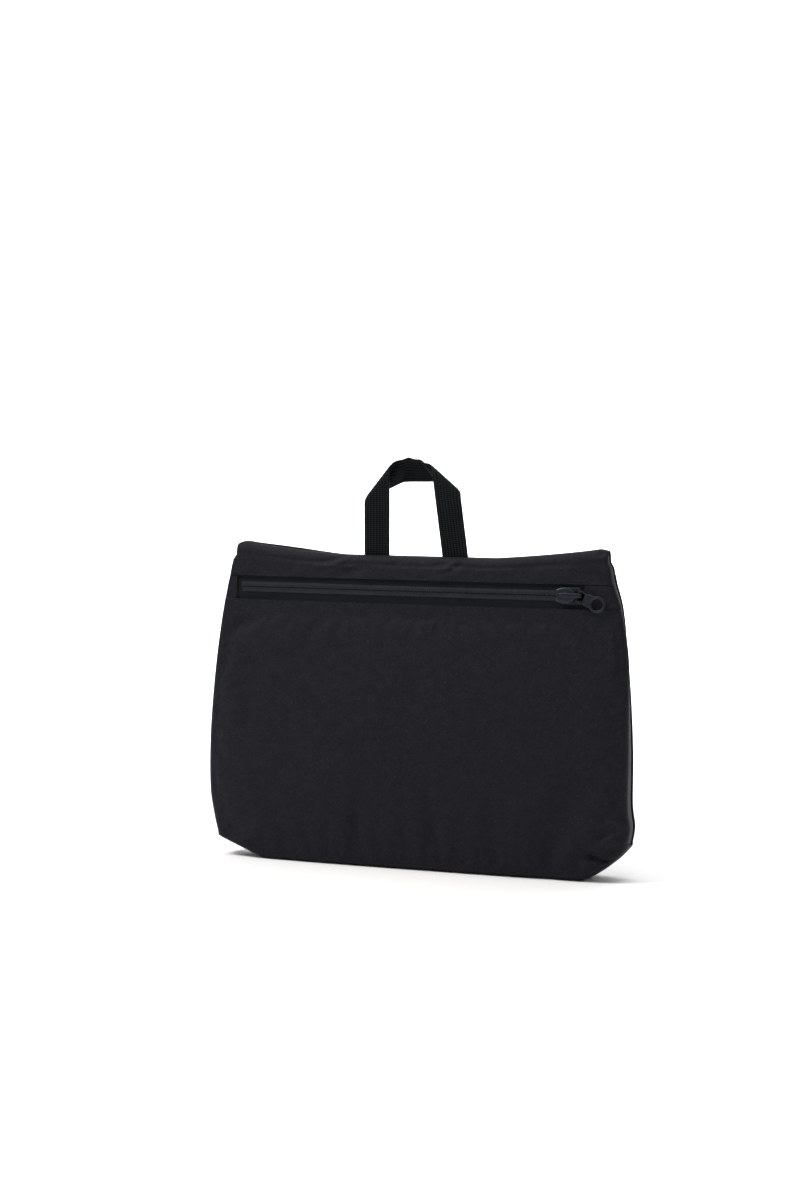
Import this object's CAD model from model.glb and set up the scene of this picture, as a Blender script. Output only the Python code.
"""A packable backpack, folded and zipped into its own front pocket.

Every new piece is a surface worked out with numpy on a grid of two parameters, in millimetres, in
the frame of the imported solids: +X runs along the zip to its slider, the front faces -Y, +Z is up.
"""

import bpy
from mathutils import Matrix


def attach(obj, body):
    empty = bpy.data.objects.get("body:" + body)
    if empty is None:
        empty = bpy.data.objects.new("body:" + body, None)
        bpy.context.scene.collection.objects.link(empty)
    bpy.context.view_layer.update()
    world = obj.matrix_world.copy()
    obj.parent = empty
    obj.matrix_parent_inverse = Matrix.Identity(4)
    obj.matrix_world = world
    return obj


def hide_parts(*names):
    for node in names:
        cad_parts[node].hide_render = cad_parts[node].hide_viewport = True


bl_info = {
    "name": "Packed Backpack Pouch",
    "version": (1, 0, 0),
    "blender": (4, 5, 0),
    "location": "View3D > Sidebar > Pouch",
    "description": "Builds a packable backpack zipped into its own pocket, and its studio",
    "category": "Object",
}

import bpy
import numpy as np
from bpy.props import FloatProperty, FloatVectorProperty, PointerProperty
from bpy.types import Operator, Panel, PropertyGroup
from mathutils import Vector

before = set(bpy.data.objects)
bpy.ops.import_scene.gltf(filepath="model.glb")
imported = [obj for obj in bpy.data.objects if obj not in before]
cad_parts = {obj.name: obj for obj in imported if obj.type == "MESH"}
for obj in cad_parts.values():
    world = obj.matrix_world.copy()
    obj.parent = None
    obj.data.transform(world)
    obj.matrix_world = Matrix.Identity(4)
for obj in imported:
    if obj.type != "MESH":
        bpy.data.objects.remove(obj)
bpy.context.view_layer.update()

MM = 0.001

# Sizes are in millimetres and angles in degrees, as in the source of the solids.

# Pouch
HEIGHT = 203.0
HALF_WIDTH = 145.0
GUSSET_DEPTH = 27.0
FRONT_BULGE = 9.0
BACK_BULGE = 8.0
BULGE_POWER = 2.5
BACK_INSET = 6.0
WALL = 1.5
GAP = 0.3
FULL_TURN = np.radians(98.0)
BASE_ROLL = 5.0
RIM_ROLL = 5.0
SEAM_TUCK = 1.2
SEAM_ROOM = 1.0
SEAM_EASE = 6.0
GUSSET_BOW = 0.8
BASE_LIP = 0.4
CORNER_LIFT = 26.5
LIFT_FADE = 92.0
DENT_DEPTH = 4.0
PANEL_TOP = 196.0
CREST = 1e-4
SHEET_WALL = WALL - 0.1
RIM_STEPS = 6
BASE_STEPS = 7
TOP_STEPS = 14

# Cloth simulation: rows and columns of its grid, steps, force from behind, and slack as a share.
CLOTH_GRID = (60, 96)
CLOTH_STEPS = 20
CLOTH_FORCE = 3.0
CLOTH_SLACK = 0.012

# Zip
BAND_BOTTOM = 188.0
WINDOW_BOTTOM = 172.8
CHAIN_Z = 180.8
LEFT_TAB = 8.0
RIGHT_TAB = 21.0
TAB_SINK = 0.4
TAPE_RECESS = 2.6
TAPE_SHIFT = 1.0
TAPE = 1.0
TAPE_OVERLAP = 4.0
TAPE_END = 1.8
TAPE_WALL = 0.7
TAPE_FOLD = 4.6
TAPE_STEP = 0.25
TAPE_STEP_RUN = 0.8
COIL_WIRE = 0.36
COIL_STEPS = 16
COIL_FLATNESS = 1.6
COIL_END = 0.4
COIL_LIFT = 0.1
COIL_SLANT = 0.2
COIL_WIDTH = 3.2
COIL_START = 3.5
COIL_HEIGHT = 2.0
CHAIN_OPENING = 2.4
SLIDER_LENGTH = 12.2
SLIDER_WIDTH = 10.6
SLIDER_INSET = 11.7
PLATE = 1.2
POST_X = 3.8
BRIDGE_WIDTH = 2.6
EYE_ROOM = 1.7
EYE_WALL = 0.8
EYE_REACH = 2.1
BAR = 1.1
EYE_HALF_WIDTH = 2.75
EYE_LENGTH = 4.3
PULL_LENGTH = 18.8
RING_RADIUS = 5.3
RING_WALL = 1.6
RING_JOIN = 127.0
PULL_DROOP = 23.0

# Handle
WEBBING = 17.5
RIB_COLUMN = 2.0
RIB_DEPTH = 0.3
WEBBING_THICKNESS = 1.6
HANDLE_CENTRE = -2.6
LEG_SPACING = 53.7
HANDLE_TAIL = 12.0
LEFT_LEG = 42.5
RIGHT_LEG = 44.5
RIGHT_LEAN = 7.5
LEFT_FOLD = 51.0
RIGHT_FOLD = 40.0
FOLD_ROLL = 3.0
TOP_LEAN = 30.0
TOP_ARCH = 1.2
ARCH_EASE = 0.3
ARCH_SWELL = 1.8
SWELL_PLACE = 0.86
SWELL_WIDTH = 0.22

# Folded bag
LAYERS = 4
LAYER_WALL = 3.6
PACK_TOP = 22.0
PACK_SIDE = 12.0
PACK_FLOOR = 6.0
PACK_CLEAR = 3.0
PACK_FOLD = 0.07
PACK_PINCH = 0.5
LAYER_ROWS = 40
LAYER_WAVE = 0.25

# Studio
FLOOR_HALF = 7000.0
FLOOR_NEAR = -6000.0
FLOOR_FAR = 4000.0
FLOOR_CURVE = 1500.0
BACKDROP_TOP = 6000.0
FLOOR_COLOUR_SHARE = 0.995
WORLD_LIGHT = 0.2

LEG_X = np.array([HANDLE_CENTRE - LEG_SPACING / 2, HANDLE_CENTRE + LEG_SPACING / 2])
PLATE_FACE = GAP * 2 + COIL_HEIGHT + PLATE
BAR_X = SLIDER_LENGTH / 2 + EYE_REACH
BAR_OUT = PLATE_FACE - PLATE + EYE_WALL + EYE_ROOM / 2
DROOP = np.radians(PULL_DROOP)
EYE_HALF = (BAR / np.cos(DROOP) + BRIDGE_WIDTH * np.tan(DROOP)) / 2 + 2 * GAP

# The slider's outline: place along it and half width, as shares of its half length and half width.
PLATE_ALONG = (-1.0, -0.67, -0.33, 0.0, 0.27, 0.53, 0.77, 1.0)
PLATE_ACROSS = (0.66, 0.85, 0.96, 1.0, 0.96, 0.84, 0.64, 0.36)

# A plate in section, from the middle of its face to that of its back: share of the outline, depth.
PLATE_LEVELS = np.array([
    (0.0, -0.12), (0.3, -0.12), (0.7, 0.0), (0.88, 0.12), (0.97, 0.34),
    (1.0, 0.6), (0.98, 1.0), (0.9, PLATE), (0.0, PLATE),
])

# Camera: its place in metres, its turn in degrees, its lens and its sensor.
CAMERA_PLACE = (0.4963, -1.4008, 0.3042)
CAMERA_TURN = (85.01, 0.0, 20.0)
CAMERA_LENS = 69.12
CAMERA_SENSOR = 36.0

# Lights: name, place, size, share of the key's power, colour, and what each is aimed at, in metres.
LIGHTS = (
    ("key", (-1.15, -0.75, 1.9), 0.7, 1.0, (1.0, 0.98, 0.96), (0.0, 0.0, 0.12)),
    ("fill", (1.5, -1.2, 0.9), 1.0, 0.06, (0.93, 0.96, 1.0), (0.0, 0.0, 0.12)),
    ("top", (0.0, -0.3, 2.0), 1.6, 0.5, (1.0, 1.0, 1.0), (0.0, -0.3, 0.0)),
    ("wall", (0.0, 1.6, 3.2), 3.0, 14.0, (1.0, 1.0, 1.0), (0.0, 5.0, 1.2)),
)

# Sections of the pouch from the base up: height is a share of its height, left and right of its
# half width, depth of the gusset's depth, inset of the back's inset, front and back of the bulges.
SECTIONS = {
    "height": np.array([0.0, 0.09, 0.2, 0.385, 0.545, 0.7, 0.85, 0.926, 1.0]),
    "left": np.array([0.96, 0.98, 1.0, 1.0, 0.985, 0.962, 0.93, 0.908, 0.879]),
    "right": np.array([0.977, 0.99, 0.979, 0.981, 0.979, 0.974, 0.939, 0.902, 0.873]),
    "depth": np.array([0.93, 1.0, 1.0, 0.97, 0.9, 0.8, 0.68, 0.6, 0.44]),
    "inset": np.array([0.2, 0.2, 0.2, 0.25, 0.4, 0.65, 0.3, 0.05, 0.0]),
    "front": np.array([0.35, 0.65, 0.92, 1.0, 0.88, 0.62, 0.34, 0.24, 0.15]),
    "back": np.array([0.3, 0.6, 0.9, 1.0, 0.95, 0.75, 0.45, 0.3, 0.2]),
}

# Slopes of the outline: start and run are shares of the half width, rise is a share of the lift.
SLOPES = {
    "left_foot": (0.745, 0.215, 0.46, 1.0),
    "right_foot": (0.77, 0.222, 1.0, 1.32),
    "top_corner": (0.35, 0.48, 0.277, 1.17),
    "top_tip": (0.82, 0.062, -0.105, 2.0),
}

# Broad dents of the front: across, up, long and wide are shares, turn is in degrees, deep a share.
DENTS = (
    (0.7, 0.14, 0.28, 0.07, 62, 0.5),
    (0.9, 0.1, 0.14, 0.05, 28, -0.45),
    (0.81, 0.075, 0.09, 0.035, -8, 0.7),
    (-0.8, 0.8, 0.2, 0.06, 32, 0.3),
    (-0.86, 0.55, 0.3, 0.08, 84, -0.3),
    (-0.62, 0.3, 0.5, 0.22, 70, 0.32),
    (0.35, 0.72, 0.5, 0.16, -12, 0.28),
    (-0.3, 0.95, 0.12, 0.035, 16, 0.25),
    (0.14, 0.95, 0.1, 0.03, 24, -0.2),
    (0.8, 0.95, 0.08, 0.03, -20, 0.3),
)

# Puckers of the side gussets: height of a wave, turn per millimetre, start, and sway of the wave.
PUCKERS = ((0.22, 0.42, 0.0, 1.7), (0.16, 0.9, 1.0, 0.0))
PUCKER_SWAY = 0.05
PUCKER_REACH = 0.16

# The back's edge shows a little above the band, left of the handle: rise, middle and half its
# width, and the level where it starts, with the height over which it grows.
EDGE_SHOWN = (0.9, -88.0, 30.0, 200.0, 6.0)

# Every narrow fold is a bell with a lower bell of the other sign beside it. Bow is a share of the
# fold's length, side depth a share of its depth, side place a share of its width.
FOLD_BOW = 0.08
FOLD_SIDE_DEPTH = 0.35
FOLD_SIDE_PLACE = 1.9

# Narrow folds, from one point of a panel to another: x, z, x, z, width and depth, all in
# millimetres. A depth below zero is a ridge.
FRONT_FOLDS = (
    (-133, 157, -103, 170, 5.0, -0.6),
    (-128, 150, -112, 158, 6.0, 0.5),
    (119, 16.5, 134, 14.5, 2.0, 2.2),
    (124, 7, 131, 14, 1.6, -1.1),
    (112, 62, 90, 18, 9.0, 1.9),
    (113, 14, 117, 15, 6.0, -1.4),
    (-138, 14, -112, 30, 6.0, 0.5),
    (-116, 4, -96, 16, 5.0, 0.45),
    (138, 52, 122, 66, 5.0, 0.5),
    (142, 34, 126, 29, 3.0, 1.1),
)
BAND_FOLDS = (
    (-70, 195.5, -46, 202, 1.6, -0.8),
    (-66, 199, -44, 204, 2.2, 0.5),
    (-22, 199.5, -11, 202, 1.3, -0.5),
    (15, 195, 27, 200, 1.6, -0.8),
    (18, 193, 30, 198, 2.2, 0.5),
    (118, 202.5, 131, 199, 1.2, 0.7),
    (120, 207, 127, 209, 1.4, 0.9),
    (-100, 192, -82, 196, 4.0, 0.4),
    (60, 193, 82, 198, 4.5, 0.45),
)
BACK_FOLDS = (
    (-120, 20, -86, 58, 9.0, 1.1),
    (122, 24, 92, 60, 9.0, 1.1),
    (-132, 176, -98, 158, 5.0, 0.8),
    (130, 178, 94, 160, 5.0, 0.8),
    (-44, 200, -30, 172, 4.0, 0.7),
    (36, 200, 26, 170, 4.0, 0.7),
    (-60, 120, 50, 132, 14.0, 0.8),
)


# Curves and surfaces


def stacked(*parts):
    """Arrays of coordinates, brought to one shape, as an array of points."""
    return np.stack(np.broadcast_arrays(*parts), axis=-1)


def smooth(value):
    """Three times the square less twice the cube, held between 0 and 1."""
    t = np.clip(value, 0.0, 1.0)
    return t * t * (3 - 2 * t)


AXIS_X, AXIS_Y, AXIS_Z = np.eye(3)


def section(column, z):
    """A cubic through a column of SECTIONS, its slope at each row that of the line past the row."""
    x, y = SECTIONS["height"], SECTIONS[column]
    rows = np.arange(len(x))
    low, high = np.maximum(rows - 1, 0), np.minimum(rows + 1, len(x) - 1)
    slope = (y[high] - y[low]) / (x[high] - x[low])
    share = np.clip(z / HEIGHT, 0, 1)
    i = np.clip(np.searchsorted(x, share, side="right") - 1, 0, len(x) - 2)
    step = x[i + 1] - x[i]
    t = (share - x[i]) / step
    ends = (2 * t**3 - 3 * t**2 + 1) * y[i] + (3 * t**2 - 2 * t**3) * y[i + 1]
    return ends + step * ((t**3 - 2 * t**2 + t) * slope[i] + (t**3 - t**2) * slope[i + 1])


def half_width(side, z, face=-1):
    """Half the width of the front, or of the back, which is drawn in behind it."""
    half = HALF_WIDTH * np.where(side < 0, section("left", z), section("right", z))
    return half - (BACK_INSET * section("inset", z) if face > 0 else 0)


def rise(name, x):
    """A slope of the outline: one less the root of one less a power of the share along it."""
    start, run, height, power = SLOPES[name]
    share = np.clip((np.abs(x) / HALF_WIDTH - start) / run, 0, 1)
    return CORNER_LIFT * height * (1 - (1 - share**power) ** (1 / power))


def foot_rise(x):
    """Height of the base at x: a straight slope on the left, a soft quarter round on the right."""
    return np.where(x < 0, rise("left_foot", x), rise("right_foot", x))


def seam_half(x):
    """Half the opening of the top seam, which parts round the two legs of the handle."""
    near = np.minimum(np.abs(x - LEG_X[0]), np.abs(x - LEG_X[1]))
    opened = 1 - np.clip((near - WEBBING / 2 - SEAM_ROOM) / SEAM_EASE, 0, 1)
    return GAP / 2 + opened * (WEBBING_THICKNESS / 2 + GAP / 2)


def depth_and_rim(z):
    """The gusset's depth at a height, and the radius of the rolled rim there."""
    depth = GUSSET_DEPTH * section("depth", z)
    return depth, np.minimum(RIM_ROLL * section("depth", z), depth / 4)


def standout(face, x, z, half):
    """How far the front or the back stands out at x: half the depth and a crown."""
    bulge = FRONT_BULGE * section("front", z) if face < 0 else BACK_BULGE * section("back", z)
    return GUSSET_DEPTH * section("depth", z) / 2 + bulge * (1 - np.abs(x / half) ** BULGE_POWER)


def lifted(x, z):
    """Heights with the base's lift at x added, which fades out on the way up."""
    return z + foot_rise(x) * np.clip(1 - z / LIFT_FADE, 0, 1) ** 2


def dents(x, z):
    """Sum of the broad dents, each a long bell turned about its middle."""
    across, up, length, width, turn, deep = (np.array(c)[:, None, None] for c in zip(*DENTS))
    dx, dz = x / HALF_WIDTH - across, (z - up * HEIGHT) / HALF_WIDTH
    turn = np.radians(turn)
    far = ((dx * np.cos(turn) + dz * np.sin(turn)) / length) ** 2
    far = far + ((dz * np.cos(turn) - dx * np.sin(turn)) / width) ** 2
    return (DENT_DEPTH * deep * np.exp(-2 * far)).sum(axis=0)


def folds(x, z, table):
    """Sum of narrow folds: a bell across each line with a lower, wider bell of the other sign."""
    x0, z0, x1, z1, width, depth = (np.array(c, float)[:, None, None] for c in zip(*table))
    run = np.hypot(x1 - x0, z1 - z0)
    ux, uz = (x1 - x0) / run, (z1 - z0) / run
    along = (x - x0) * ux + (z - z0) * uz
    over = np.clip(along, 0, run) - along
    bow = FOLD_BOW * run * np.sin(np.pi * np.clip(along / run, 0, 1))
    across = (z - z0) * ux - (x - x0) * uz + bow
    far = np.hypot(across, over) / width
    fade = np.sin(np.pi * np.clip((along / run + 0.3) / 1.6, 0, 1)) ** 0.7
    beside = FOLD_SIDE_DEPTH * np.exp(-((far - FOLD_SIDE_PLACE) ** 2))
    return (depth * fade * (np.exp(-far**2) - beside)).sum(axis=0)


def face_grid(face, share, side_turn, z, up_turn, table=()):
    """Points of the front (face -1) or the back (face 1).

    A column is a share of the flat width with the angle of its rolled rim, a row a height with the
    angle of the roll at the base or the top. The face stands out by half the depth and a crown, one
    less the share of the half width to a power. Rolls are arcs. The corners are lifted at the end.
    """
    share, side_turn = np.atleast_2d(share), side_turn[None, :]
    z, up_turn = z[:, None], up_turn[:, None]
    z = np.where(up_turn < 0, BASE_ROLL, np.where(up_turn > 0, HEIGHT, z))
    half = half_width(share, z, face)
    _, rim = depth_and_rim(z)
    x = share * (half - rim) + rim * np.sin(side_turn)
    out = standout(face, x, z, half)
    if face < 0:
        out = out - dents(x, z) * np.cos(side_turn)
    top_roll = (out - seam_half(x)) / (1 - np.cos(FULL_TURN))
    roll = np.where(up_turn > 0, top_roll, BASE_ROLL)
    flat = HEIGHT - top_roll
    level = np.where(up_turn == 0, np.minimum(z, flat), flat)
    level = np.where(up_turn < 0, BASE_ROLL + BASE_LIP, level)
    drop = roll * (1 - np.cos(up_turn)) + rim * (1 - np.cos(side_turn)) * np.cos(up_turn)
    z = level + roll * np.sin(up_turn)
    high = np.clip((z - BAND_BOTTOM) / (HEIGHT - BAND_BOTTOM), 0, 1)
    z = lifted(x, z) + (rise("top_corner", x) + rise("top_tip", x)) * high
    y = out - drop
    if table:
        held = np.cos(side_turn) * np.cos(np.clip(up_turn, -1.5, 1.5))
        y = y - bpy.context.scene.pouch.crease * folds(x, z, table) * held
    return stacked(x, face * y, z)


def full_roll(steps):
    """Angles of a roll, from its first step to its last."""
    return np.linspace(0, FULL_TURN, steps + 1)[1:]


def rolled(count):
    """Columns of a panel: shares across its flat part, with a rolled rim at both ends."""
    turn, flat, edge = full_roll(RIM_STEPS), np.linspace(-1, 1, count), np.ones(RIM_STEPS)
    return np.concatenate([-edge, flat, edge]), np.concatenate([-turn[::-1], 0 * flat, turn])


def raised(heights, base=0, top=0):
    """Rows of a panel: heights of its flat part, with steps of the roll at the base or the top."""
    over = np.append(CREST, full_roll(top)) if top else full_roll(0)
    z = np.concatenate([np.full(base, BASE_ROLL), heights, np.full(len(over), HEIGHT)])
    return z, np.concatenate([-full_roll(base)[::-1], 0 * heights, over])


def tape_points(x, z):
    """Points of the zip tape, a fixed distance behind the face of the front at x and z."""
    dented = dents(np.atleast_2d(x), np.atleast_2d(z)).reshape(np.shape(x))
    out = standout(-1, x, z, half_width(x, z)) - dented
    return stacked(x, TAPE_RECESS - out, z)


def chain_half(x):
    """Half the space between the two coils, a smooth step that opens them behind the slider."""
    share = smooth((x - SLIDER_X + SLIDER_LENGTH / 6) / (SLIDER_LENGTH / 3))
    return GAP / 2 + (CHAIN_OPENING - GAP / 2) * share


WINDOW_LEFT = float(LEFT_TAB - half_width(-1.0, CHAIN_Z))
WINDOW_RIGHT = float(half_width(1.0, CHAIN_Z) - RIGHT_TAB)
SLIDER_X = WINDOW_RIGHT - SLIDER_INSET


def unit(vectors):
    """Vectors divided by their lengths."""
    return vectors / np.maximum(np.linalg.norm(vectors, axis=-1, keepdims=True), 1e-9)


def ring(count, wide, high, power=2.0):
    """A closed profile: a circle drawn out to two radii, squarer at higher powers."""
    turn = np.linspace(0, 2 * np.pi, count, endpoint=False)
    cos, sin = np.cos(turn), np.sin(turn)
    size = (np.abs(cos) ** power + np.abs(sin) ** power) ** (-1 / power)
    return stacked(wide * size * cos, high * size * sin)


def spline_weights(places, count):
    """Weights that read a smooth cubic through evenly spaced samples at places from 0 to 1."""
    at = np.clip(places, 0, 1) * (count - 1)
    i = np.clip(np.floor(at).astype(int), 0, count - 2)
    t = at - i
    cubic = [-t / 2 + t**2 - t**3 / 2, 1 - 2.5 * t**2 + 1.5 * t**3]
    cubic += [t / 2 + 2 * t**2 - 1.5 * t**3, (t**3 - t**2) / 2]
    weights = np.zeros((len(at), count + 2))
    np.put_along_axis(weights, i[:, None] + np.arange(4), np.stack(cubic, axis=1), 1)
    weights[:, 1] += weights[:, 0]
    weights[:, -2] += weights[:, -1]
    return weights[:, 1:-1]


# Meshes


def quads_of(rows, columns, round_rows=False, round_columns=False):
    """Corners of the quads of a grid, each from a point to the next column and the next row."""
    index = np.arange(rows * columns).reshape(rows, columns)
    if round_columns:
        index = np.hstack([index, index[:, :1]])
    if round_rows:
        index = np.vstack([index, index[:1]])
    corners = [index[:-1, :-1], index[:-1, 1:], index[1:, 1:], index[1:, :-1]]
    return np.stack(corners, axis=-1).reshape(-1, 4)


def new_object(name, points, faces, uv=None):
    """An object in the scene whose mesh has these points, in millimetres, and faces."""
    mesh = bpy.data.meshes.new(name)
    mesh.from_pydata((points.reshape(-1, 3) * MM).tolist(), [], [f.tolist() for f in faces])
    if uv is not None:
        layer = mesh.uv_layers.new(name="UVMap")
        loops = np.empty(len(mesh.loops), dtype=np.int32)
        mesh.loops.foreach_get("vertex_index", loops)
        layer.uv.foreach_set("vector", uv.reshape(-1, 2)[loops].astype(np.float32).ravel())
    mesh.polygons.foreach_set("use_smooth", np.ones(len(mesh.polygons), dtype=bool))
    mesh.update()
    made = bpy.data.objects.new(name, mesh)
    bpy.context.scene.collection.objects.link(made)
    return made


def grid_object(name, points, uv=None, flip=False, round_columns=False):
    """An object whose faces are the quads of one grid of points."""
    faces = quads_of(*points.shape[:2], round_columns=round_columns)
    return new_object(name, points, faces[:, ::-1] if flip else faces, uv)


def walled(piece, thickness, edge=0.5, offset=-1.0):
    """Gives a sheet its wall, with rounded edges."""
    wall = piece.modifiers.new("Wall", "SOLIDIFY")
    wall.thickness, wall.offset, wall.use_even_offset = thickness * MM, offset, False
    bevel = piece.modifiers.new("Edge", "BEVEL")
    bevel.width, bevel.segments, bevel.limit_method = edge * MM, 3, "ANGLE"
    bevel.angle_limit = np.radians(60)
    return piece


def tube(path, across, up, profile):
    """Points and faces of a closed tube along a path, its two ends shut by a point each.

    Each point of the profile adds its two shares of across and up, which may be one vector each.
    """
    path = np.asarray(path)
    wide, high = profile[None, :, :1], profile[None, :, 1:]
    across, up = (np.broadcast_to(axis, path.shape)[:, None] for axis in (across, up))
    points = path[:, None] + wide * across + high * up
    rows, columns = points.shape[:2]
    faces = quads_of(rows, columns, round_columns=True)
    ends = np.stack([points[0].mean(axis=0), points[-1].mean(axis=0)])
    low = np.arange(columns)
    following = np.roll(low, -1)
    first = np.stack([following, low, np.full(columns, rows * columns)], axis=-1)
    top = (rows - 1) * columns
    last = np.stack([low + top, following + top, np.full(columns, rows * columns + 1)], axis=-1)
    return np.vstack([points.reshape(-1, 3), ends]), [*faces, *first, *last]


def settled(points, pins, cap):
    """How far a sheet of cloth settles from its points, worked out by Blender's cloth simulation.

    The sheet is a little larger than its frame, pinned where pins is 1, and a steady force fills it
    from behind. What comes back is the shift of every point, held under the cap.
    """
    rows, columns = points.shape[:2]
    trial = grid_object("cloth_trial", points)
    group = trial.vertex_groups.new(name="pins")
    group.add(np.flatnonzero(pins.ravel() > 0.5).tolist(), 1.0, "REPLACE")
    cloth = trial.modifiers.new("Cloth", "CLOTH")
    settings = cloth.settings
    settings.quality, settings.mass = 6, 0.25
    settings.tension_stiffness = settings.compression_stiffness = 20
    settings.shear_stiffness, settings.bending_stiffness = 8, 1.5
    settings.vertex_group_mass = "pins"
    settings.shrink_min = settings.shrink_max = -CLOTH_SLACK
    settings.use_pressure, settings.uniform_pressure_force = True, CLOTH_FORCE
    settings.effector_weights.gravity = 0
    cloth.collision_settings.use_collision = False
    scene = bpy.context.scene
    for step in range(1, CLOTH_STEPS + 1):
        scene.frame_set(step)
    mesh = trial.evaluated_get(bpy.context.evaluated_depsgraph_get()).data
    moved = np.empty(rows * columns * 3, dtype=np.float32)
    mesh.vertices.foreach_get("co", moved)
    scene.frame_set(1)
    bpy.data.objects.remove(trial)
    shift = moved.reshape(points.shape) / MM - points
    size = np.linalg.norm(shift, axis=-1, keepdims=True)
    return shift * (cap * np.tanh(size / cap) / np.maximum(size, 1e-6))


# Shader nodes


class Nodes:
    """Adds nodes to a tree and joins them, left to right."""

    def __init__(self, tree):
        self.tree = tree

    def feed(self, node, inputs):
        """Sets a node's inputs, each to a value or to a socket of another node."""
        for key, value in inputs.items():
            if isinstance(value, bpy.types.NodeSocket):
                self.tree.links.new(value, node.inputs[key])
            else:
                node.inputs[key].default_value = value

    def add(self, kind, inputs=None, **values):
        """A node with its own settings and its inputs set."""
        node = self.tree.nodes.new("ShaderNode" + kind)
        for name, value in values.items():
            setattr(node, name, value)
        self.feed(node, inputs or {})
        return node

    def math(self, operation, first, second=0.0, third=0.0):
        """The result of a Math node."""
        inputs = {0: first, 1: second, 2: third}
        return self.add("Math", inputs, operation=operation).outputs[0]

    def mix(self, share, first, second):
        """A colour between two colours."""
        return self.add("Mix", {0: share, 6: first, 7: second}, data_type="RGBA").outputs[2]

    def ramp(self, value, low, high):
        """A smooth step from 0 at low to 1 at high."""
        inputs = {"Value": value, "From Min": low, "From Max": high}
        return self.add("MapRange", inputs, interpolation_type="SMOOTHSTEP").outputs["Result"]

    def noise(self, place, scale, detail=2.0, rough=0.5):
        """The value of a noise texture."""
        inputs = {"Vector": place, "Scale": scale, "Detail": detail, "Roughness": rough}
        return self.add("TexNoise", inputs).outputs["Fac"]

    def bump(self, height, strength, distance):
        """A normal that follows a height, with the distance of its full size in metres."""
        inputs = {"Height": height, "Strength": strength, "Distance": distance}
        return self.add("Bump", inputs).outputs[0]

    def group(self, build, inputs):
        """The outputs of a node that holds a group, built once and then found by its name."""
        tree = bpy.data.node_groups.get(build.__name__) or build(build.__name__)
        return self.add("Group", inputs, node_tree=tree).outputs


def effect_group(name, inputs, outputs):
    """An empty node group, its helper, its given sockets and its output node.

    An input without a default is a vector, and every other one and every output is a number.
    """
    tree = bpy.data.node_groups.new(name, "ShaderNodeTree")
    for label, default in inputs.items():
        kind = "NodeSocketVector" if default is None else "NodeSocketFloat"
        socket = tree.interface.new_socket(label, in_out="INPUT", socket_type=kind)
        if default is not None:
            socket.default_value = default
    for label in outputs:
        tree.interface.new_socket(label, in_out="OUTPUT", socket_type="NodeSocketFloat")
    given = tree.nodes.new("NodeGroupInput").outputs
    return Nodes(tree), given, tree.nodes.new("NodeGroupOutput")


def cloth_grain(name):
    """Fine plain weave under a coating: two crossed waves, broken up by noise of two sizes.

    Height rises where a thread passes over. Tone is a soft mottle, Fleck the rare lighter thread.
    """
    inputs = {"Vector": None, "Threads": 2200.0, "Mottle": 160.0}
    nodes, given, result = effect_group(name, inputs, ("Height", "Tone", "Fleck"))
    place = nodes.add("SeparateXYZ", {0: given["Vector"]}).outputs
    waves = []
    for axis in ("X", "Z"):
        line = nodes.math("ADD", place[axis], place["Y"])
        waves.append(nodes.math("SINE", nodes.math("MULTIPLY", line, given["Threads"])))
    fine = nodes.noise(given["Vector"], 2100.0)
    broad = nodes.noise(given["Vector"], given["Mottle"], 4.0, 0.65)
    fleck = nodes.noise(given["Vector"], 850.0, 1.0)
    nodes.feed(result, {
        "Height": nodes.math("MULTIPLY_ADD", nodes.math("MULTIPLY", *waves), 0.35, fine),
        "Tone": nodes.math("MULTIPLY_ADD", fine, 0.8, nodes.math("MULTIPLY", broad, 0.2)),
        "Fleck": nodes.ramp(fleck, 0.66, 0.8),
    })
    return nodes.tree


def webbing_ribs(name):
    """Woven ribs on a piece's own UV map, in millimetres: u runs across and v along the piece.

    Each rib is a row of short bars, in columns with a groove between them. Height is the height of
    the bars, Thread is 1 on them and 0 in the gaps.
    """
    inputs = {"Row": 1.3, "Column": 2.0, "Selvedge": 8.75}
    nodes, given, result = effect_group(name, inputs, ("Height", "Thread"))
    place = nodes.add("UVMap", uv_map="UVMap").outputs[0]
    place = nodes.add("SeparateXYZ", {0: place}).outputs
    waves = []
    for axis, pitch in (("X", "Column"), ("Y", "Row")):
        turn = nodes.math("MULTIPLY", nodes.math("DIVIDE", place[axis], given[pitch]), np.pi)
        waves.append(nodes.math("ABSOLUTE", nodes.math("SINE", turn)))
    across, along = nodes.math("POWER", waves[0], 0.6), nodes.math("POWER", waves[1], 0.8)
    thread = nodes.math("MULTIPLY", across, along)
    far = nodes.math("DIVIDE", nodes.math("ABSOLUTE", place["X"]), given["Selvedge"])
    edge = nodes.ramp(far, 0.86, 0.93)
    plain = nodes.math("MULTIPLY", nodes.math("MULTIPLY", waves[1], 0.8), edge)
    height = nodes.math("MULTIPLY_ADD", thread, nodes.math("SUBTRACT", 1.0, edge), plain)
    nodes.feed(result, {"Height": height, "Thread": nodes.ramp(height, 0.35, 0.95)})
    return nodes.tree


def edge_rub(name):
    """Where edges and ridges are rubbed: the mesh's own pointiness, broken up by noise."""
    nodes, given, result = effect_group(name, {"Vector": None, "Amount": 1.0}, ("Rub",))
    ridge = nodes.ramp(nodes.add("NewGeometry").outputs["Pointiness"], 0.52, 0.62)
    noise = nodes.ramp(nodes.noise(given["Vector"], 240.0, 3.0), 0.3, 0.7)
    broken = nodes.math("MULTIPLY", ridge, noise)
    nodes.feed(result, {"Rub": nodes.math("MULTIPLY", broken, given["Amount"])})
    return nodes.tree


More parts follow.
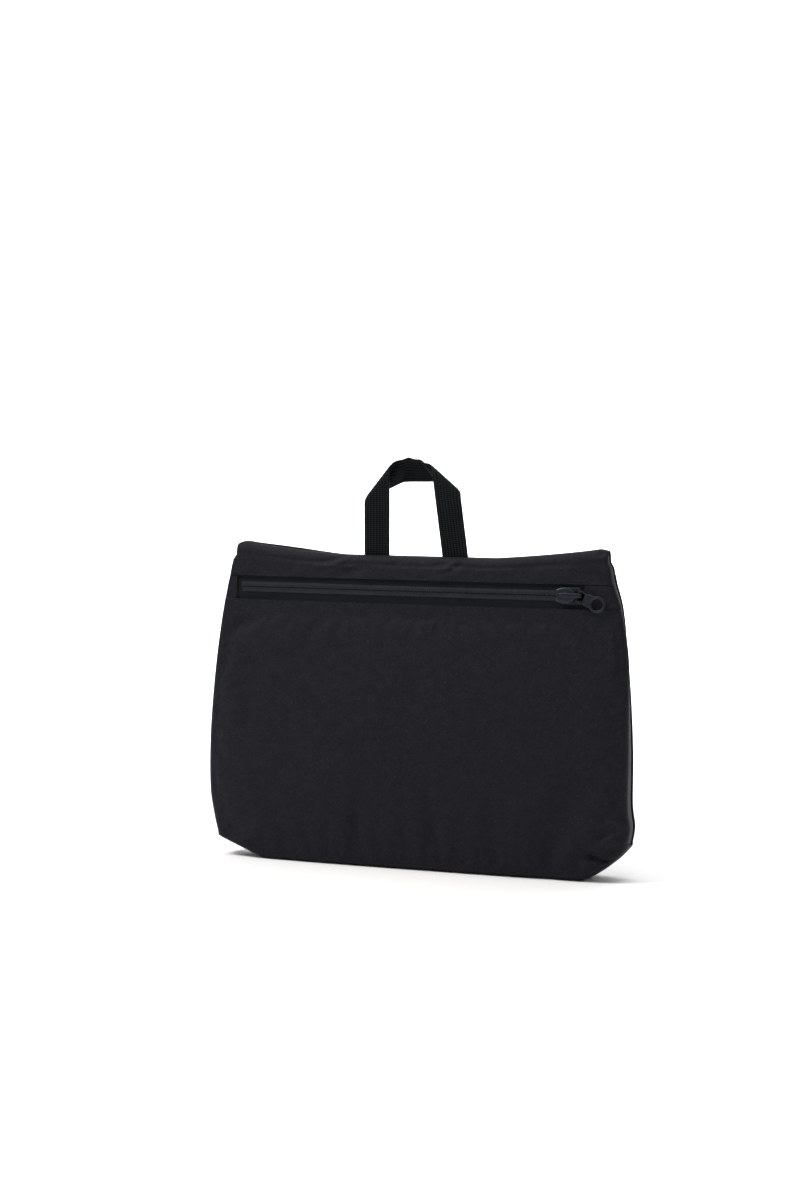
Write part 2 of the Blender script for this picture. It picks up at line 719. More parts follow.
def new_material(name):
    """A material with its node helper, Principled shader and object coordinates."""
    material = bpy.data.materials.new(name)
    material.use_nodes = True
    material.node_tree.nodes.clear()
    nodes = Nodes(material.node_tree)
    shader = nodes.add("BsdfPrincipled")
    nodes.add("OutputMaterial", {0: shader.outputs[0]})
    return material, nodes, shader, nodes.add("TexCoord").outputs["Object"]


def built_once(build):
    """Has a builder of materials give back the material of that name where there is one."""
    def material(name, colour, **settings):
        return bpy.data.materials.get(name) or build(name, tuple(colour), **settings)

    return material


def scaled(colour, share):
    """A colour made lighter or darker, with its alpha left as it is."""
    return (*(min(1.0, c * share) for c in colour[:3]), 1.0)


@built_once
def cloth_material(name, colour):
    """Coated polyester: a dark mottled ground, fine threads, rare light flecks and a soft sheen."""
    material, nodes, shader, place = new_material(name)
    grain = nodes.group(cloth_grain, {"Vector": place})
    rub = nodes.group(edge_rub, {"Vector": place, "Amount": 0.5})["Rub"]
    tone = nodes.ramp(grain["Tone"], 0.32, 0.68)
    ground = nodes.mix(tone, scaled(colour, 0.6), scaled(colour, 1.45))
    ground = nodes.mix(nodes.math("MULTIPLY", grain["Fleck"], 0.5), ground, scaled(colour, 3.2))
    nodes.feed(shader, {
        "Base Color": nodes.mix(rub, ground, scaled(colour, 2.2)),
        "Roughness": nodes.math("MULTIPLY_ADD", grain["Tone"], 0.15, 0.53),
        "Sheen Weight": 0.012,
        "Sheen Roughness": 0.35,
        "Sheen Tint": (0.8, 0.85, 1.0, 1.0),
        "Specular IOR Level": 0.16,
        "IOR": 1.3,
        "Normal": nodes.bump(grain["Height"], 0.55, 0.0003),
    })
    return material


@built_once
def webbing_material(name, colour, ribs, rough=0.6, gap=0.08, bar=3.2):
    """Woven tape or webbing: light bars over dark gaps, with a plainer selvedge."""
    material, nodes, shader, place = new_material(name)
    weave = nodes.group(webbing_ribs, ribs)
    noise = nodes.noise(place, 700.0)
    ground = nodes.mix(weave["Thread"], scaled(colour, gap), scaled(colour, bar))
    height = nodes.math("MULTIPLY_ADD", noise, 0.2, weave["Height"])
    nodes.feed(shader, {
        "Base Color": nodes.mix(nodes.math("MULTIPLY", noise, 0.2), ground, scaled(colour, 1.4)),
        "Roughness": rough,
        "Sheen Weight": 0.003,
        "Sheen Roughness": 0.4,
        "Specular IOR Level": 0.07,
        "Normal": nodes.bump(height, 0.8, 0.0004),
    })
    return material


@built_once
def metal_material(name, colour):
    """Painted metal: a dark coat with fine orange peel, rubbed bright on its edges."""
    material, nodes, shader, place = new_material(name)
    rub = nodes.group(edge_rub, {"Vector": place})["Rub"]
    noise = nodes.noise(place, 1500.0)
    ground = nodes.mix(nodes.math("MULTIPLY", noise, 0.4), colour, scaled(colour, 1.5))
    nodes.feed(shader, {
        "Base Color": nodes.mix(rub, ground, scaled(colour, 3.5)),
        "Metallic": 0.6,
        "Roughness": nodes.math("MULTIPLY_ADD", noise, 0.12, 0.32),
        "Normal": nodes.bump(noise, 0.15, 0.0001),
    })
    return material


@built_once
def coil_material(name, colour):
    """Nylon coil: smooth and a little glossy, with a faint mottle."""
    material, nodes, shader, place = new_material(name)
    noise = nodes.noise(place, 420.0)
    nodes.feed(shader, {
        "Base Color": nodes.mix(noise, scaled(colour, 0.7), scaled(colour, 1.4)),
        "Roughness": nodes.math("MULTIPLY_ADD", noise, 0.15, 0.3),
        "Normal": nodes.bump(noise, 0.1, 0.0001),
    })
    return material


def placed(piece, material, body="pouch", nodes=()):
    """Gives a finished piece its material, its slot in the record, its body and its nodes."""
    piece.data.materials.clear()
    piece.data.materials.append(material)
    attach(piece, body)
    if nodes:
        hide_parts(*nodes)
    return piece


# Settings


def colour_property(name, description, default):
    """A colour in a group of settings."""
    return FloatVectorProperty(
        name=name, description=description, subtype="COLOR", size=4, min=0, max=1,
        default=(*default, 1.0),
    )


def length_property(name, description, default, least, most):
    """A length in a group of settings, in metres."""
    return FloatProperty(
        name=name, description=description, default=default, min=least, max=most, unit="LENGTH"
    )


class PouchSettings(PropertyGroup):
    """Sizes and colours of the cloth."""

    colour: colour_property(
        "Cloth Colour", "Colour of the coated fabric", (0.0112, 0.0118, 0.0153)
    )
    puff: length_property("Puff", "Most that the simulated cloth may move", 0.0018, 0, 0.006)
    crease: FloatProperty(
        name="Crease", description="How deep the folds are, as a share of their tables",
        default=1.0, min=0, max=3, subtype="FACTOR",
    )


class ZipSettings(PropertyGroup):
    """Sizes and colours of the zip."""

    tape_colour: colour_property(
        "Tape Colour", "Colour of the zip's woven tape", (0.0135, 0.0162, 0.0198)
    )
    coil_colour: colour_property(
        "Coil Colour", "Colour of the nylon coil", (0.0185, 0.0215, 0.026)
    )
    metal_colour: colour_property(
        "Metal Colour", "Colour of the slider and its pull", (0.016, 0.02, 0.026)
    )
    pitch: length_property(
        "Tooth Pitch", "Distance from one tooth to the next on a coil", 0.00157, 0.001, 0.004
    )


class HandleSettings(PropertyGroup):
    """Sizes and colour of the handle."""

    colour: colour_property("Webbing Colour", "Colour of the webbing", (0.0046, 0.006, 0.007))
    row: length_property("Rib Pitch", "Distance between the webbing's ribs", 0.0013, 0.0005, 0.004)


class StudioSettings(PropertyGroup):
    """The floor and the lights."""

    floor_colour: colour_property(
        "Floor Colour", "Colour of the floor and backdrop", (0.9, 0.9, 0.9)
    )
    key: FloatProperty(
        name="Key Light", description="Power of the large light at the upper left", default=40.0,
        min=0, max=400, unit="POWER",
    )


# Pieces


def puffed(context, points, margin):
    """A grid of cloth after it settles: a coarser grid is simulated and its shift read back."""
    cap = context.scene.pouch.puff / MM
    if cap <= 0:
        return points
    sizes = list(zip(CLOTH_GRID, points.shape))
    read = [spline_weights(np.linspace(0, 1, coarse), fine) for coarse, fine in sizes]
    few = np.einsum("ai,ijk,bj->abk", read[0], points, read[1])
    pins = np.ones(CLOTH_GRID)
    pins[margin:-margin, margin:-margin] = 0
    fill = [spline_weights(np.linspace(0, 1, fine), coarse) for coarse, fine in sizes]
    return points + np.einsum("ia,abk,jb->ijk", fill[0], settled(few, pins, cap), fill[1])


def cloth_piece(context, name, points, nodes, uv=None, flip=False):
    """A wall of coated fabric that stands for some nodes, from the grid of its outer face.

    Its UV map is the distance across and up in millimetres, if it isn't given.
    """
    piece = grid_object(name, points, points[..., ::2] if uv is None else uv, flip)
    material = cloth_material("pouch_cloth", context.scene.pouch.colour)
    return placed(walled(piece, SHEET_WALL), material, nodes=nodes)


class FrontPanelOperator(Operator):
    """Builds the front: a crowned sheet with rolled rims and folds, settled by a simulation"""

    bl_idname = "pouch.front_panel"
    bl_label = "Front Panel"

    def execute(self, context):
        rows = raised(np.linspace(BASE_ROLL, WINDOW_BOTTOM - GAP / 2, 127), base=BASE_STEPS)
        points = puffed(context, face_grid(-1, *rolled(211), *rows, FRONT_FOLDS), 4)
        cloth_piece(context, "front_cloth", points, ["front_panel"])
        return {"FINISHED"}


class TopBandOperator(Operator):
    """Builds the band above the zip, which rolls over to the top seam"""

    bl_idname = "pouch.top_band"
    bl_label = "Top Band"

    def execute(self, context):
        rows = raised(np.linspace(BAND_BOTTOM + GAP / 2, PANEL_TOP, 9), top=TOP_STEPS)
        points = face_grid(-1, *rolled(241), *rows, BAND_FOLDS)
        cloth_piece(context, "band_cloth", points, ["top_band"])
        return {"FINISHED"}


class BackPanelOperator(Operator):
    """Builds the back, filled out by the folded bag, settled by a cloth simulation"""

    bl_idname = "pouch.back_panel"
    bl_label = "Back Panel"

    def execute(self, context):
        rows = raised(np.linspace(BASE_ROLL, PANEL_TOP, 127), BASE_STEPS, TOP_STEPS)
        points = face_grid(1, *rolled(191), *rows, BACK_FOLDS)
        shown, middle, half, start, run = EDGE_SHOWN
        bell = shown * np.exp(-(((points[..., 0] - middle) / half) ** 2))
        points[..., 2] += bell * smooth((points[..., 2] - start) / run)
        points = puffed(context, points[:, ::-1], 7)
        cloth_piece(context, "back_cloth", points, ["back_panel"])
        return {"FINISHED"}


def side_strip(side):
    """A side gusset: lines from the front's rolled rim to the back's, bowed and puckered."""
    turn = np.array([side * FULL_TURN])
    share = np.array([float(side)])
    heights = np.linspace(BASE_ROLL, PANEL_TOP, 150)
    z = np.concatenate([[BASE_ROLL], heights, [HEIGHT, HEIGHT]])
    up = np.concatenate([[-FULL_TURN / 3], 0 * heights, [CREST, FULL_TURN / 3]])
    front, back = (face_grid(face, share, turn, z, up)[:, 0] for face in (-1, 1))
    front, back = front + [-side * SEAM_TUCK, GAP, 0], back + [-side * SEAM_TUCK, -GAP, 0]
    t = np.linspace(0, 1, 15)[None, :]
    points = front[:, None] * (1 - t[..., None]) + back[:, None] * t[..., None]
    level = points[..., 2]
    swayed = np.sin(level * PUCKER_SWAY)
    waves = [a * np.sin(level * b + start + sway * swayed) for a, b, start, sway in PUCKERS]
    near_seam = np.exp(-t / PUCKER_REACH) + np.exp(-(1 - t) / PUCKER_REACH)
    points[..., 0] += side * (GUSSET_BOW + sum(waves) * near_seam) * 4 * t * (1 - t)
    return points


class GussetsOperator(Operator):
    """Builds the three gussets between the front and the back"""

    bl_idname = "pouch.gussets"
    bl_label = "Gussets"

    def execute(self, context):
        for side, name in ((-1, "side_gusset_left"), (1, "side_gusset_right")):
            points = side_strip(side)
            cloth_piece(
                context, name + "_cloth", points, [name], points[..., 1:], flip=side < 0
            )
        share, turn = rolled(181)
        keep = np.abs(turn) < FULL_TURN - 1e-6
        z, up = np.array([BASE_ROLL]), np.array([-FULL_TURN])
        sides = [face_grid(face, share[keep], turn[keep], z, up)[0] for face in (-1, 1)]
        for points, face in zip(sides, (-1, 1)):
            points[:, 1] -= face * GAP
            points[:, 2] = foot_rise(points[:, 0])
        t = np.linspace(0, 1, 15)[:, None, None]
        points = sides[0][None] * (1 - t) + sides[1][None] * t
        cloth_piece(context, "base_cloth", points, ["base_gusset"], points[..., :2], flip=True)
        return {"FINISHED"}


class ZipTabsOperator(Operator):
    """Builds the two tabs that cover the ends of the zip"""

    bl_idname = "pouch.zip_tabs"
    bl_label = "Zip Tabs"

    def execute(self, context):
        z = np.linspace(WINDOW_BOTTOM - GAP / 3, BAND_BOTTOM + GAP / 3, 14)
        t = np.linspace(0, 1, 16)
        for side, start, name in ((-1, WINDOW_LEFT, "left"), (1, WINDOW_RIGHT, "right")):
            inner = start / (half_width(side, z) - depth_and_rim(z)[1])
            flat = inner[:, None] * (1 - t) + side * t
            share = np.hstack([flat, np.full((len(z), RIM_STEPS), side)])
            angle = np.concatenate([0 * t, side * full_roll(RIM_STEPS)])
            if side < 0:
                share, angle = share[:, ::-1], angle[::-1]
            points = face_grid(-1, share, angle, z, 0 * z)
            points[..., 1] += TAB_SINK
            cloth_piece(context, f"zip_tab_{name}_cloth", points, [f"zip_tab_{name}"])
        return {"FINISHED"}


class ZipTapesOperator(Operator):
    """Builds the woven tapes of the zip, each with a soft fold where the coil is sewn on"""

    bl_idname = "pouch.zip_tapes"
    bl_label = "Zip Tapes"

    def execute(self, context):
        material = webbing_material(
            "tape_weave", context.scene.zip.tape_colour, rough=0.7, gap=0.6, bar=1.3,
            ribs={"Row": 0.6, "Column": 0.9, "Selvedge": 40.0},
        )
        x = np.linspace(WINDOW_LEFT - TAPE_END, WINDOW_RIGHT + TAPE_END, 300)
        t = np.linspace(0, 1, 18)[:, None]
        for side, far, name in ((1, BAND_BOTTOM, "upper"), (-1, WINDOW_BOTTOM, "lower")):
            near = CHAIN_Z + side * chain_half(x)[None, :]
            z = near * (1 - t) + (far + side * TAPE_OVERLAP) * t
            points = tape_points(x[None, :] + 0 * z, z)
            step = np.abs(z - CHAIN_Z)
            points[..., 1] += TAPE_STEP * smooth((step - TAPE_FOLD) / TAPE_STEP_RUN) - TAPE_SHIFT
            uv = stacked(z, x[None, :])
            piece = grid_object(f"zip_tape_{name}_cloth", points, uv, flip=side < 0)
            walled(piece, TAPE_WALL, 0.2)
            placed(piece, material, nodes=[f"zip_tape_{name}"])
        return {"FINISHED"}


class ZipCoilsOperator(Operator):
    """Builds the two coils: a thread wound in a flattened helix, each turn one slanted tooth"""

    bl_idname = "pouch.zip_coils"
    bl_label = "Zip Coils"

    def execute(self, context):
        material = coil_material("coil_nylon", context.scene.zip.coil_colour)
        pitch, wire = context.scene.zip.pitch / MM, COIL_WIRE
        start, end = WINDOW_LEFT + COIL_START, WINDOW_RIGHT - 2 * GAP - COIL_END
        turns = int((end - start) / pitch)
        angle = np.linspace(0, 2 * np.pi * turns, turns * COIL_STEPS + 1)
        for side, name in ((1, "upper"), (-1, "lower")):
            shifted = angle / (2 * np.pi) + (0.5 if side < 0 else 0.0)
            x = start + pitch * shifted * turns / (turns + 0.5) - COIL_SLANT * np.cos(angle)
            level = np.tanh(COIL_FLATNESS * np.cos(angle))
            reach = 0.5 + 0.5 * level / np.tanh(COIL_FLATNESS)
            inner = chain_half(x) + wire
            z = CHAIN_Z + side * (inner + (COIL_WIDTH - 2 * wire) * (1 - reach))
            path = tape_points(x, z)
            base = TAPE_SHIFT + COIL_LIFT
            thick = GAP + COIL_HEIGHT - base - 2 * wire
            path[:, 1] -= base + wire + thick * (0.5 + 0.5 * np.sin(angle))
            along = unit(np.gradient(path, axis=0))
            across = unit(np.cross(along, AXIS_X))
            up = unit(np.cross(along, across))
            points, faces = tube(path, across, up, ring(6, wire, wire))
            piece = new_object(f"zip_coil_{name}_teeth", points, faces)
            placed(piece, material, nodes=[f"zip_coil_{name}"])
        return {"FINISHED"}


def slider_axes():
    """Origin and axes of the slider: along the zip, up the front and out of it, from the tape."""
    def at(x, z):
        return tape_points(np.array([x]), np.array([z]))[0]

    origin = at(SLIDER_X, CHAIN_Z)
    ahead, above = SLIDER_LENGTH / 3, SLIDER_WIDTH / 3
    along = unit(at(SLIDER_X + ahead, CHAIN_Z) - at(SLIDER_X - ahead, CHAIN_Z))
    out = unit(np.cross(along, at(SLIDER_X, CHAIN_Z + above) - at(SLIDER_X, CHAIN_Z - above)))
    return origin, np.stack([along, np.cross(out, along), out])


def plate_outline(count):
    """The slider's outline: a smooth curve through its half widths, mirrored about the zip."""
    x = -np.cos(np.linspace(0, np.pi, count))
    half = np.interp(x, PLATE_ALONG, PLATE_ACROSS)
    half = np.convolve(np.pad(half, 2, mode="edge"), np.ones(5) / 5, mode="valid")
    x, y = x * SLIDER_LENGTH / 2, half * SLIDER_WIDTH / 2
    return np.concatenate([stacked(x, -y), stacked(x, y)[::-1]])


def plate_mesh(share, height, flip):
    """A closed plate: the outline drawn in by each level's share, at that level's height."""
    flat = plate_outline(24)[None] * share[:, None, None]
    grid = np.concatenate([flat, height[:, None, None] + 0 * flat[..., :1]], axis=-1)
    faces = quads_of(*grid.shape[:2], round_columns=True)
    return grid.reshape(-1, 3), faces if flip else faces[:, ::-1]


def joined(parts):
    """Points and faces of several parts as one mesh."""
    starts = np.cumsum([0] + [len(points) for points, _ in parts[:-1]])
    faces = [face + start for (_, own), start in zip(parts, starts) for face in own]
    return np.vstack([points for points, _ in parts]), faces


def rounded_path(corners, radius, count):
    """A path through corners, each rounded by an arc-like blend of its two sides."""
    corners = np.array(corners)
    parts = [corners[:1]]
    for before, corner, after in zip(corners[:-2], corners[1:-1], corners[2:]):
        first = corner + unit(before - corner) * radius
        last = corner + unit(after - corner) * radius
        t = np.linspace(0, 1, count)[:, None]
        parts.append((1 - t) ** 2 * first + 2 * t * (1 - t) * corner + t**2 * last)
    return np.concatenate([*parts, corners[-1:]])


def slider_mesh():
    """Two plates, a ridge bent round the eye, a post and the ridge's core, along the zip."""
    share, depth = PLATE_LEVELS.T
    upper = plate_mesh(share, PLATE_FACE - depth, False)
    under = plate_mesh(share, depth - TAPE - GAP - PLATE, True)
    half = SLIDER_LENGTH / 2
    high = BAR_OUT + EYE_ROOM / 2 + EYE_WALL / 2
    low = BAR_OUT - EYE_ROOM / 2 - EYE_WALL / 2
    end = BAR_X + EYE_HALF + EYE_WALL / 2
    foot, crest, tail = 0.6 - half, 2.2 - half, half - 1.6
    path = rounded_path([
        (foot, 0.0, low - 0.2), (crest, 0.0, high), (end, 0.0, high), (end, 0.0, low),
        (tail, 0.0, low),
    ], 0.9, 7)
    over = unit(np.cross(unit(np.gradient(path, axis=0)), AXIS_Y))
    ridge = tube(path, AXIS_Y, over, ring(20, BRIDGE_WIDTH / 2, EYE_WALL / 2, 5.0))
    path = [(POST_X, 0.0, under[0][:, 2].min() + 0.5), (POST_X, 0.0, PLATE_FACE - 0.5)]
    post = tube(path, AXIS_X, AXIS_Y, ring(16, 1.2, 1.4, 4.0))
    under_ridge, in_plate = high - 0.3, PLATE_FACE - 0.2
    path = [
        (1.4 - half, 0.0, in_plate), (crest, 0.0, under_ridge),
        (half - 1.8, 0.0, under_ridge), (half - 1.0, 0.0, in_plate),
    ]
    core = tube(path, AXIS_Y, AXIS_Z, ring(16, BRIDGE_WIDTH / 2 - 0.15, 0.3, 4.0))
    return joined([upper, under, ridge, post, core])


def pull_mesh():
    """A plate with the finger ring's hole, and a bar bent round the eye, from the bar's middle."""
    rows, columns = 72, 14
    centre = PULL_LENGTH - RING_RADIUS
    angle = np.linspace(0, 2 * np.pi, rows, endpoint=False)[:, None]
    cos, sin = np.cos(angle), np.sin(angle)
    neck = (np.abs(sin) / 4.0) ** 8 + (np.abs(cos) / (centre - EYE_LENGTH + 0.2)) ** 8
    outer = np.where(cos < np.cos(np.radians(RING_JOIN)), neck ** (-1 / 8), RING_RADIUS)
    hole = RING_RADIUS - RING_WALL
    rim = ring(columns, 0.5, BAR / 2, 3.2)
    radius = hole + (outer - hole) * (rim[:, 0] + 0.5)
    disc = stacked(centre + radius * cos, radius * sin, rim[:, 1]).reshape(-1, 3)
    arm, reach = EYE_HALF_WIDTH + BAR / 2, EYE_LENGTH + 1.2
    loop = rounded_path(
        [(reach, arm - 0.1, 0.0), (0.0, arm, 0.0), (0.0, -arm, 0.0), (reach, 0.1 - arm, 0.0)],
        1.0, 8,
    )
    across = unit(np.cross(unit(np.gradient(loop, axis=0)), AXIS_Z))
    eye = tube(loop, across, AXIS_Z, ring(12, BAR / 2, BAR / 2, 3.0))
    return joined([(disc, quads_of(rows, columns, True, True)), eye])


class ZipMetalOperator(Operator):
    """Builds the slider, two plates under a ridge with an eye, and the pull that hangs in it"""

    bl_idname = "pouch.zip_metal"
    bl_label = "Slider and Pull"

    def execute(self, context):
        material = metal_material("painted_metal", context.scene.zip.metal_colour)
        origin, axes = slider_axes()
        points, faces = slider_mesh()
        slider = new_object("slider_metal", origin + points @ axes, faces)
        placed(slider, material, nodes=["zip_slider"])
        cos, sin = np.cos(DROOP), np.sin(DROOP)
        turned = np.array([[cos, -sin, 0.0], [sin, cos, 0.0], AXIS_Z]) @ axes
        bar = origin + np.array([BAR_X, 0.0, BAR_OUT]) @ axes
        points, faces = pull_mesh()
        pull = new_object("pull_metal", bar + points @ turned, faces)
        placed(pull, material, body="pull", nodes=["zip_pull"])
        return {"FINISHED"}


def leg_strip(mirror, base, length, lean, fold):
    """One half of the handle, as the function of distance s and offset w that lays it out.

    The webbing runs straight up its leg, rolls over a line at the fold's angle on a small arc, and
    runs on behind itself. Lengths along the cloth are kept.
    """
    turn = np.radians(90 + lean)
    up = np.array([np.cos(turn), np.sin(turn)])
    inner = mirror * np.array([up[1], -up[0]])
    line = np.array([mirror * np.cos(np.radians(fold)), np.sin(np.radians(fold))])
    ahead = mirror * np.array([-line[1], line[0]])
    start = np.array([base, HEIGHT]) + up * length
    pace = up @ ahead
    tail = HANDLE_TAIL + length

    def point(s, w):
        flat = (s - tail)[..., None] * up + w[..., None] * inner
        past, along = flat @ ahead, flat @ line
        turned = np.clip(past / FOLD_ROLL, 0, np.pi)
        rest = np.where(past < 0, past, -np.maximum(0, past - np.pi * FOLD_ROLL))
        place = start + along[..., None] * line
        place = place + (rest + FOLD_ROLL * np.sin(turned))[..., None] * ahead
        return stacked(place[..., 0], FOLD_ROLL * (1 - np.cos(turned)), place[..., 1])

    return point, tail, -(inner @ ahead) / pace, np.pi * FOLD_ROLL / pace


def handle_surface(count, offsets):
    """Middle surface of the handle: both halves, joined behind by a smooth step, then arched."""
    left, tail, slant, roll = leg_strip(1, LEG_X[0], LEFT_LEG, 0.0, LEFT_FOLD)
    right, tail_r, slant_r, roll_r = leg_strip(-1, LEG_X[1], RIGHT_LEG, RIGHT_LEAN, RIGHT_FOLD)
    left_end, right_end = tail + roll, tail_r + roll_r
    zero = np.zeros(1)
    top = float(np.linalg.norm(left(zero + left_end, zero) - right(zero + right_end, zero)))
    whole = left_end + top + right_end
    s = np.linspace(0, whole, count)[:, None]
    skew = np.interp(
        s,
        [0, tail - WEBBING, tail - roll / 4, left_end, left_end + top,
         whole - tail_r + roll_r / 4, whole - tail_r + WEBBING, whole],
        [0, 0, slant, slant, -slant_r, -slant_r, 0, 0],
    )
    w = offsets[None, :]
    at = s + skew * w
    share = smooth((s - left_end) / top)[..., None]
    points = left(at, w + 0 * at) * (1 - share) + right(whole - at, w + 0 * at) * share
    place = (s - left_end) / top
    between = smooth(place / ARCH_EASE) * smooth((1 - place) / ARCH_EASE)
    lean = np.radians(TOP_LEAN) * between
    upper = points[:, -1:, 2]
    drop = upper - points[..., 2]
    swell = ARCH_SWELL * np.exp(-(((place - SWELL_PLACE) / SWELL_WIDTH) ** 2))
    points[..., 2] = upper - drop * np.cos(lean) + TOP_ARCH * between + swell
    points[..., 1] += drop * np.sin(lean)
    return points, at, w + 0 * at


class HandleOperator(Operator):
    """Builds the webbing handle, folded over at its two corners"""

    bl_idname = "pouch.handle"
    bl_label = "Handle"

    def execute(self, context):
        settings = context.scene.handle
        ribs = {"Row": settings.row / MM, "Column": RIB_COLUMN, "Selvedge": WEBBING / 2}
        material = webbing_material("handle_weave", settings.colour, ribs=ribs)
        flat, brim = WEBBING / 2 - 0.25, WEBBING / 2 - 0.1
        offsets = np.concatenate([[-brim], np.linspace(-flat, flat, 35), [brim]])
        middle, s, w = handle_surface(900, offsets)
        normal = unit(np.cross(np.gradient(middle, axis=0), np.gradient(middle, axis=1)))
        edge = np.clip((WEBBING / 2 - np.abs(w)) / 1.0, 0, 1)
        bulk = WEBBING_THICKNESS / 2 * np.sqrt(np.clip(1 - (1 - edge) ** 2, 0.02, 1))
        bar = np.abs(np.sin(np.pi * s * MM / settings.row))
        bar = bar * np.abs(np.sin(np.pi * w / RIB_COLUMN)) ** 0.6
        bulk = bulk - RIB_DEPTH * (1 - bar) * edge
        front, back = middle + normal * bulk[..., None], middle - normal * bulk[..., None]
        loop = np.concatenate([front, back[:, ::-1]], axis=1)
        uv = np.concatenate([stacked(w, s), stacked(w, s)[:, ::-1]], axis=1)
        piece = grid_object("handle_webbing", loop, uv, round_columns=True)
        placed(piece, material, nodes=["handle_strap"])
        return {"FINISHED"}


class FoldedBagOperator(Operator):
    """Builds the bag folded away inside, to and fro in upright layers"""

    bl_idname = "pouch.folded_bag"
    bl_label = "Folded Bag"

    def execute(self, context):
        turn = np.radians(np.linspace(0, 180, 9))
        depth, height = [], []
        for layer in range(LAYERS):
            down = layer % 2 == 0
            run = np.linspace(PACK_FOLD, 1 - PACK_FOLD, LAYER_ROWS)
            depth.append(np.full(LAYER_ROWS, (layer + 0.5) / LAYERS))
            height.append(run[::-1] if down else run)
            if layer < LAYERS - 1:
                reach = PACK_FOLD * (1 - np.sin(turn[1:-1]))
                depth.append((layer + 1 - np.cos(turn[1:-1]) / 2) / LAYERS)
                height.append(reach if down else 1 - reach)
        depth, height = np.concatenate(depth)[:, None], np.concatenate(height)[:, None]
        share = np.linspace(-1, 1, 90)[None, :]
        low, high = PACK_FLOOR + PACK_CLEAR, WINDOW_BOTTOM - PACK_TOP - PACK_CLEAR
        z = low + (high - low) * height + 0 * share
        behind = half_width(share, z, 1)
        x = share * (np.minimum(half_width(share, z), behind) - PACK_SIDE)
        inside = 2 * WALL + GAP
        front = tape_points(x, z)[..., 1] - TAPE_RECESS + inside
        back = standout(1, x, z, behind) - inside
        pinch = 1 - PACK_PINCH * np.abs(share) ** 8
        y = front + (back - front) * (0.5 + (depth - 0.5) * pinch)
        wave = LAYER_WAVE * np.sin(x * 0.11 + 3 * depth * LAYERS)
        y = y + wave * np.sin(z * 0.07 + depth * 9)
        piece = grid_object("folded_bag_cloth", stacked(x, y, lifted(x, z)))
        walled(piece, LAYER_WALL, LAYER_WALL / 3, offset=0.0)
        material = cloth_material("pouch_cloth", context.scene.pouch.colour)
        placed(piece, material, nodes=["folded_pack"])
        return {"FINISHED"}


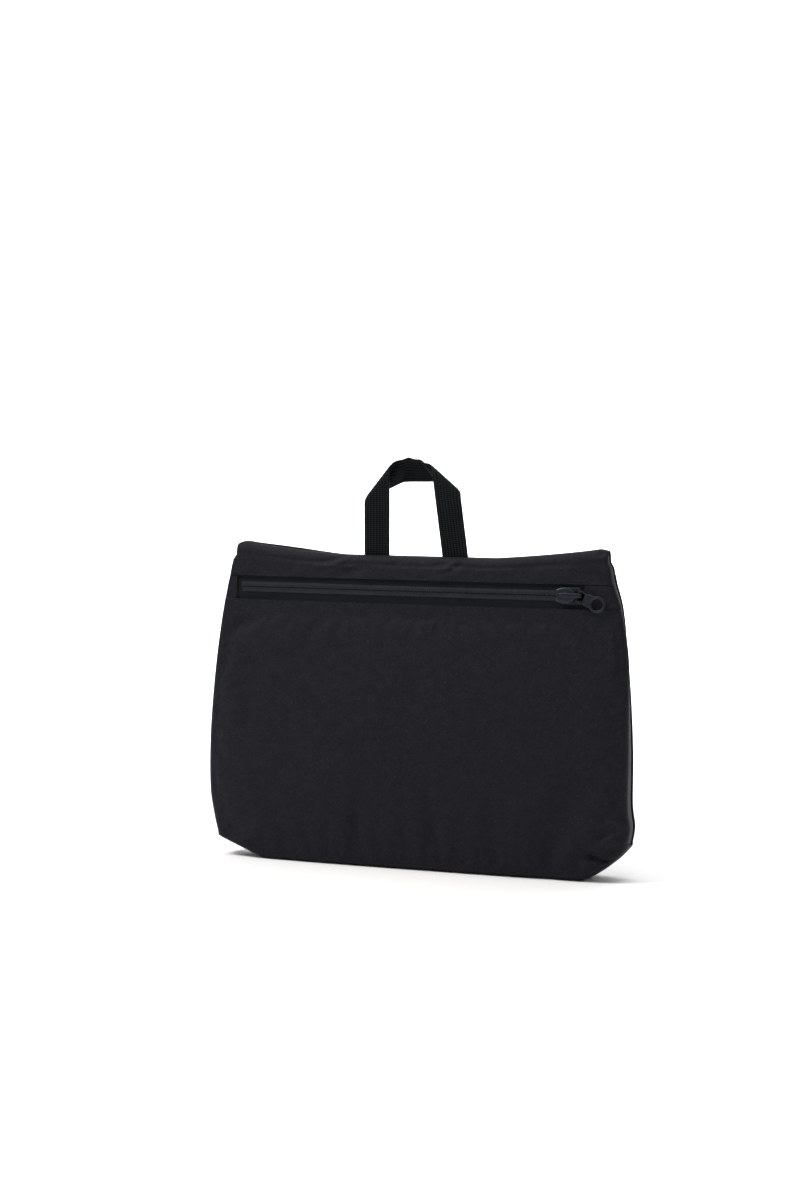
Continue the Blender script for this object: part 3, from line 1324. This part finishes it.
class StudioOperator(Operator):
    """Builds the pale floor that curves up behind, the soft lights and the camera"""

    bl_idname = "pouch.studio"
    bl_label = "Studio"

    def execute(self, context):
        scene, settings = context.scene, context.scene.studio
        turn = np.linspace(0, np.pi / 2, 24)
        curve = FLOOR_CURVE * np.stack([np.sin(turn), 1 - np.cos(turn)])
        y = np.concatenate([[FLOOR_NEAR], FLOOR_FAR + curve[0], [FLOOR_FAR + FLOOR_CURVE]])
        z = np.concatenate([[0.0], curve[1], [BACKDROP_TOP]])
        x = np.linspace(-FLOOR_HALF, FLOOR_HALF, 3)
        floor = grid_object("studio_floor", stacked(x[None, :], y[:, None], z[:, None]))
        material, nodes, shader, place = new_material("studio_floor")
        colour = tuple(settings.floor_colour)
        ground = nodes.mix(nodes.noise(place, 3.0), scaled(colour, FLOOR_COLOUR_SHARE), colour)
        nodes.feed(shader, {"Base Color": ground, "Roughness": 0.9})
        floor.data.materials.append(material)
        world = bpy.data.worlds.new("studio")
        scene.world = world
        world.use_nodes = True
        sky = world.node_tree.nodes["Background"]
        sky.inputs["Color"].default_value = (1.0, 1.0, 1.0, 1.0)
        sky.inputs["Strength"].default_value = WORLD_LIGHT
        for name, place, size, share, tint, aim in LIGHTS:
            light = bpy.data.lights.new(name, "AREA")
            light.energy, light.size, light.color = settings.key * share, size, tint
            lamp = bpy.data.objects.new(name, light)
            scene.collection.objects.link(lamp)
            lamp.location = place
            facing = Vector(aim) - Vector(place)
            lamp.rotation_euler = facing.to_track_quat("-Z", "Y").to_euler()
        scene.view_settings.view_transform = "Standard"
        camera = bpy.data.cameras.new("camera")
        camera.lens, camera.sensor_fit, camera.clip_end = CAMERA_LENS, "VERTICAL", 50.0
        camera.sensor_width = camera.sensor_height = CAMERA_SENSOR
        eye = bpy.data.objects.new("camera", camera)
        scene.collection.objects.link(eye)
        eye.location, eye.rotation_euler = CAMERA_PLACE, np.radians(CAMERA_TURN)
        scene.camera = eye
        return {"FINISHED"}


class PouchPanel(Panel):
    """Lists the steps that build the pouch, with their settings"""

    bl_idname = "VIEW3D_PT_pouch"
    bl_label = "Packed Pouch"
    bl_space_type = "VIEW_3D"
    bl_region_type = "UI"
    bl_category = "Pouch"

    def draw(self, context):
        layout = self.layout
        for setting in SETTINGS:
            group, box = getattr(context.scene, setting), layout.box()
            for name in group.__annotations__:
                box.prop(group, name)
        for operator in OPERATORS:
            layout.operator(operator.bl_idname)


SETTINGS = {
    "pouch": PouchSettings,
    "zip": ZipSettings,
    "handle": HandleSettings,
    "studio": StudioSettings,
}
OPERATORS = (
    StudioOperator,
    FrontPanelOperator,
    TopBandOperator,
    BackPanelOperator,
    GussetsOperator,
    ZipTabsOperator,
    ZipTapesOperator,
    ZipCoilsOperator,
    ZipMetalOperator,
    HandleOperator,
    FoldedBagOperator,
)


def register():
    """Registers the settings, the operators and the panel."""
    for cls in (*SETTINGS.values(), *OPERATORS, PouchPanel):
        bpy.utils.register_class(cls)
    for name, cls in SETTINGS.items():
        setattr(bpy.types.Scene, name, PointerProperty(type=cls))


def unregister():
    """Takes everything that register added away again."""
    for name in SETTINGS:
        delattr(bpy.types.Scene, name)
    for cls in (PouchPanel, *reversed(OPERATORS), *SETTINGS.values()):
        bpy.utils.unregister_class(cls)


def main():
    """Builds every piece in turn."""
    register()
    for operator in OPERATORS:
        group, name = operator.bl_idname.split(".")
        getattr(getattr(bpy.ops, group), name)()


if __name__ == "__main__":
    main()
